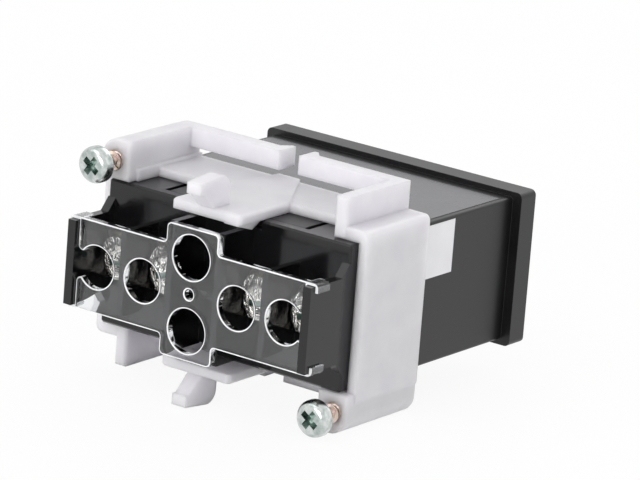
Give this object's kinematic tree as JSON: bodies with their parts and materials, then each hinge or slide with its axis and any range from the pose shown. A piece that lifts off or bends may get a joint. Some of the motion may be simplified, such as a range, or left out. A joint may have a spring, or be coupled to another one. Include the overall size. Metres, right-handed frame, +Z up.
{
  "type": "digital counter",
  "caption": "Panel-mounted LCD pulse counter with clear terminal cover and slide-on mounting bracket with jack screws.",
  "frame": {"origin": "centre of the panel plane, which is the rear face of the bezel", "axes": "+Y from the panel plane to the terminals, +Z up, +X to the right seen from the front"},
  "size_m": [0.0486, 0.0544, 0.035],
  "materials": {
    "case_black": "fine textured black moulding",
    "plated_brass": "tin plated",
    "cover_clear": "clear moulded plastic",
    "bracket_nylon": "natural milky nylon",
    "zinc_plate": "bright zinc plate",
    "nickel_plate": "nickel plate",
    "label_grey": "grey film",
    "label_white": "white paper label",
    "window_clear": "clear window",
    "lcd": "liquid crystal panel",
    "strip_rubber": "elastomer",
    "board": "solder resist",
    "chip_black": "epoxy moulding",
    "cell_steel": "nickel plated steel",
    "key_grey": "fine textured",
    "dome_steel": "bright"
  },
  "bodies": {
    "case": {"front_case": "case_black", "terminal_base": "case_black", "terminal_plates": "plated_brass", "label_top": "label_grey", "label_side": "label_white", "window_lens": "window_clear", "lcd_glass": "lcd", "connector_strip_upper": "strip_rubber", "connector_strip_lower": "strip_rubber", "display_board": "board", "main_board": "board", "counter_chip": "chip_black", "lithium_cell": "cell_steel", "cell_tab_minus": "cell_steel", "cell_tab_plus": "cell_steel", "contact_dome": "dome_steel", "lock_switch": "chip_black"},
    "reset_key": {"reset_key": "key_grey"},
    "lock_slider": {"lock_slider": "key_grey"},
    "terminal_cover": {"terminal_cover": "cover_clear"},
    "bracket": {"mounting_bracket": "bracket_nylon"},
    "jack_upper": {"jack_screw_upper": "zinc_plate"},
    "jack_lower": {"jack_screw_lower": "zinc_plate"},
    "terminal_1": {"terminal_screw_1": "nickel_plate", "clamp_washer_1": "nickel_plate"},
    "terminal_2": {"terminal_screw_2": "nickel_plate", "clamp_washer_2": "nickel_plate"},
    "terminal_3": {"terminal_screw_3": "nickel_plate", "clamp_washer_3": "nickel_plate"},
    "terminal_4": {"terminal_screw_4": "nickel_plate", "clamp_washer_4": "nickel_plate"}
  },
  "joints": [
    {"name": "reset_key_press", "type": "slide", "parent": "case", "child": "reset_key", "axis": [0, 1, 0], "range_m": [0, 0.0009], "stiffness_N_per_m": 1200, "springref_m": -0.0003},
    {"name": "lock_slide", "type": "slide", "parent": "case", "child": "lock_slider", "axis": [1, 0, 0], "range_m": [0, 0.0022]},
    {"name": "cover_pull", "type": "slide", "parent": "case", "child": "terminal_cover", "axis": [0, 1, 0], "range_m": [0, 0.01]},
    {"name": "bracket_slide", "type": "slide", "parent": "case", "child": "bracket", "axis": [0, 1, 0], "range_m": [-0.0162, 0.005]},
    {"name": "jack_upper_advance", "type": "slide", "parent": "bracket", "child": "jack_upper", "axis": [0, 1, 0], "range_m": [-0.0034, 0.01]},
    {"name": "jack_lower_advance", "type": "slide", "parent": "bracket", "child": "jack_lower", "axis": [0, 1, 0], "range_m": [-0.0034, 0.01]},
    {"name": "terminal_screw_1_back_out", "type": "slide", "parent": "case", "child": "terminal_1", "axis": [0, 1, 0], "range_m": [0, 0.0025]},
    {"name": "terminal_screw_2_back_out", "type": "slide", "parent": "case", "child": "terminal_2", "axis": [0, 1, 0], "range_m": [0, 0.0025]},
    {"name": "terminal_screw_3_back_out", "type": "slide", "parent": "case", "child": "terminal_3", "axis": [0, 1, 0], "range_m": [0, 0.0025]},
    {"name": "terminal_screw_4_back_out", "type": "slide", "parent": "case", "child": "terminal_4", "axis": [0, 1, 0], "range_m": [0, 0.0025]}
  ]
}
